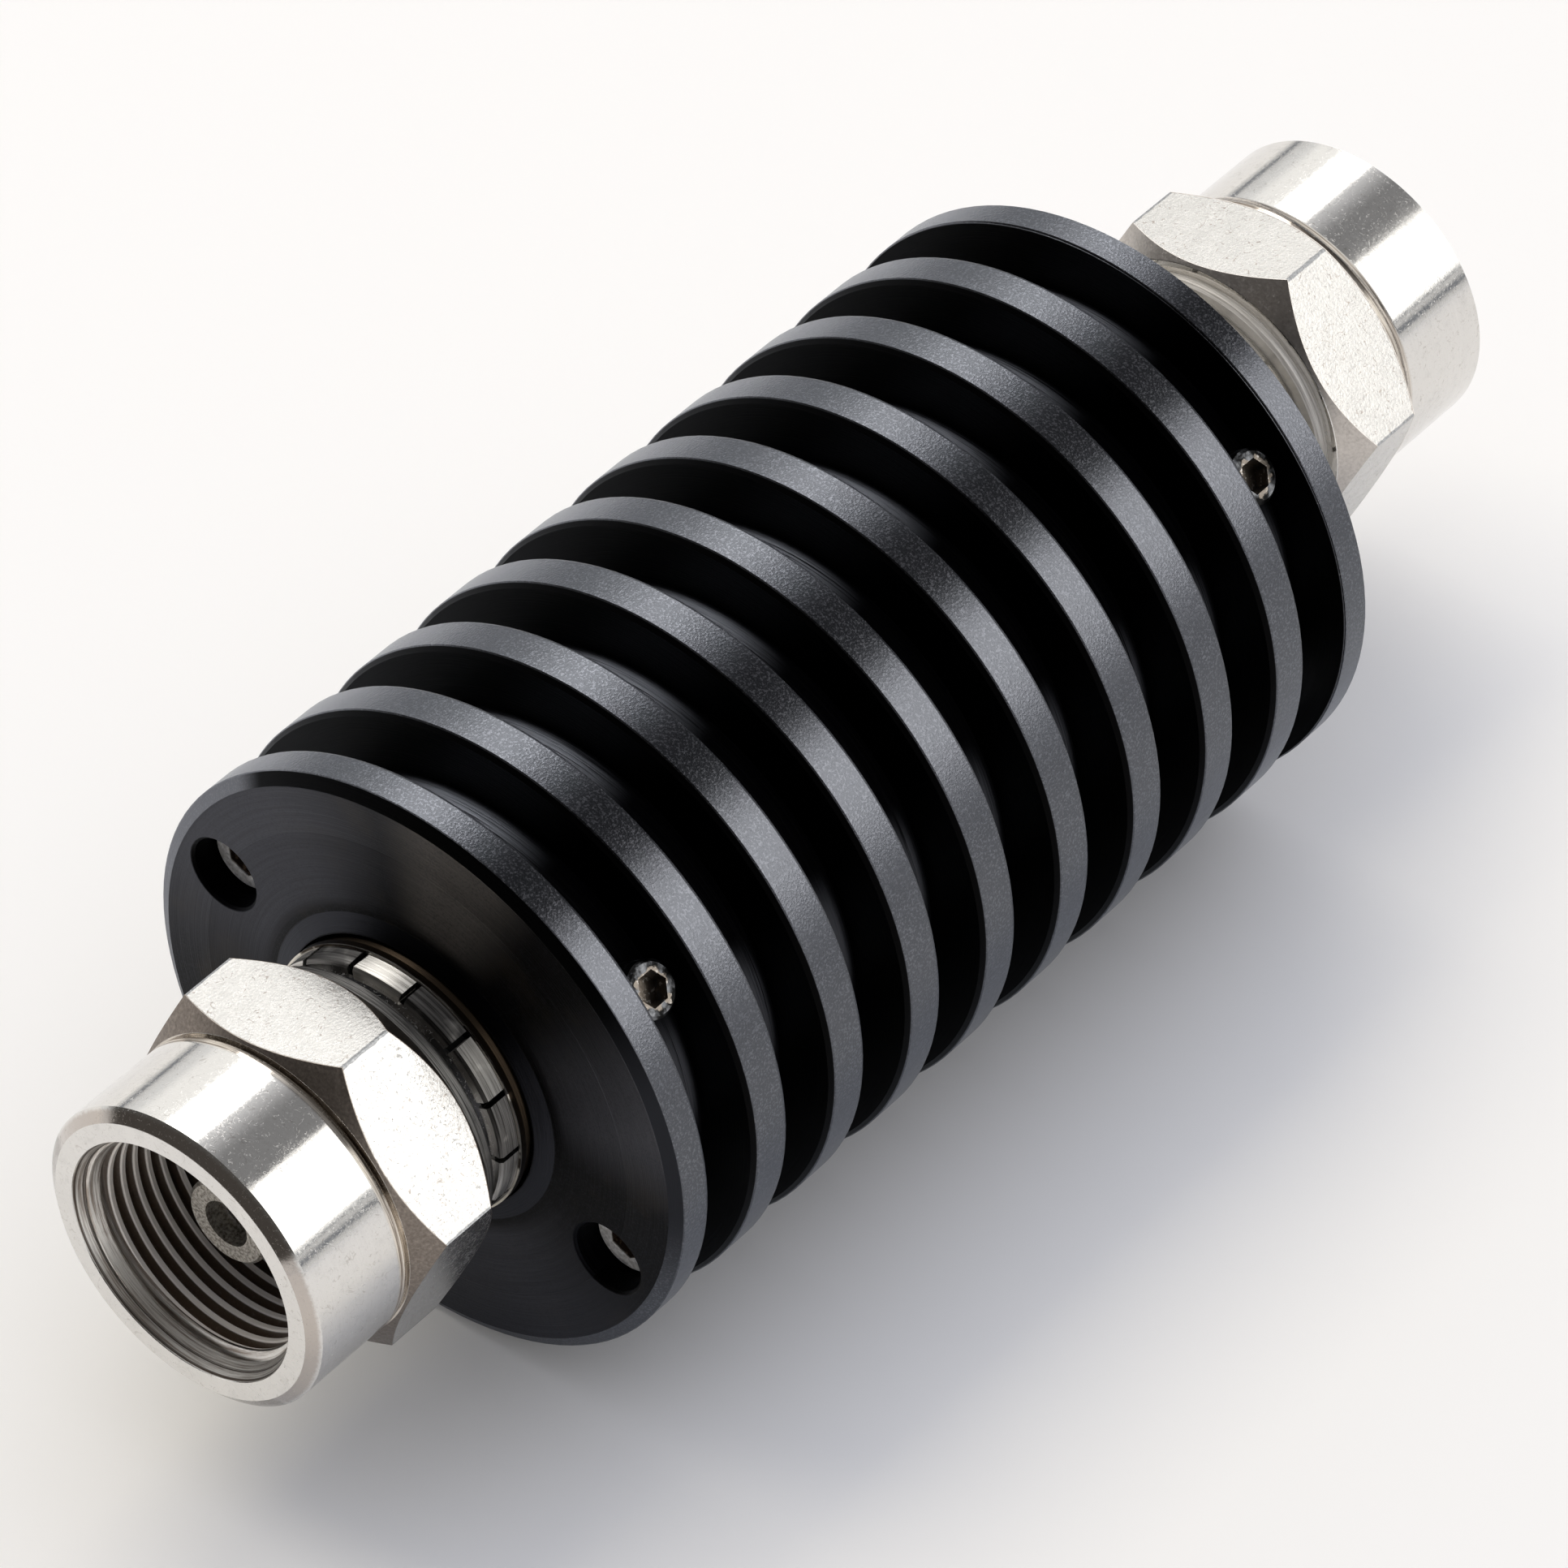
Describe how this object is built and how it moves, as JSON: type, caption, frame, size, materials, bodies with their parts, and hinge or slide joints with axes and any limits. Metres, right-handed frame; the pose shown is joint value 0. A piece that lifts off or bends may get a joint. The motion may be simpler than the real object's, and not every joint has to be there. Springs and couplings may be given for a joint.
{
  "type": "coaxial attenuator",
  "caption": "Coaxial attenuator: a finned round heat sink with a threaded coupling nut that turns freely at each end.",
  "frame": {"origin": "on the axis, at the mouth of the far coupling nut, on which the part stands", "axes": "+Z along the axis towards the near coupling nut's mouth; +X and +Y across it"},
  "size_m": [0.04, 0.04, 0.112],
  "materials": {
    "black_anodised": "black anodised, turned",
    "nickel_plate": "nickel plated brass, bright and lightly worn",
    "spring_steel": "plain spring steel",
    "seal_rubber": "matte moulded",
    "insulation": "dark moulded insulation",
    "contact_metal": "plated contact metal",
    "screw_steel": "bright stainless steel",
    "plain_aluminium": "machined",
    "chip_ceramic": "fired ceramic"
  },
  "bodies": {
    "body": {"heat_sink": "black_anodised", "near_snap_ring": "spring_steel", "near_connector_body": "nickel_plate", "near_lock_ring": "nickel_plate", "near_gasket": "seal_rubber", "near_outer_contact": "nickel_plate", "near_insulator": "insulation", "near_center_contact": "contact_metal", "near_rear_bead": "insulation", "near_plate_screws": "screw_steel", "near_clamp_screw": "screw_steel", "far_snap_ring": "spring_steel", "far_connector_body": "nickel_plate", "far_lock_ring": "nickel_plate", "far_gasket": "seal_rubber", "far_outer_contact": "nickel_plate", "far_insulator": "insulation", "far_center_contact": "contact_metal", "far_rear_bead": "insulation", "far_plate_screws": "screw_steel", "far_clamp_screw": "screw_steel", "chip_carrier": "plain_aluminium", "carrier_cover": "plain_aluminium", "attenuator_chip": "chip_ceramic", "near_contact_tab": "contact_metal", "far_contact_tab": "contact_metal"},
    "near_nut": {"near_coupling_nut": "nickel_plate"},
    "far_nut": {"far_coupling_nut": "nickel_plate"}
  },
  "joints": [
    {"name": "near_nut_spin", "type": "hinge", "parent": "body", "child": "near_nut", "pos_m": [0, 0, 0.1035], "axis": [0, 0, 1], "continuous": true},
    {"name": "far_nut_spin", "type": "hinge", "parent": "body", "child": "far_nut", "pos_m": [0, 0, 0.0085], "axis": [0, 0, 1], "continuous": true}
  ]
}
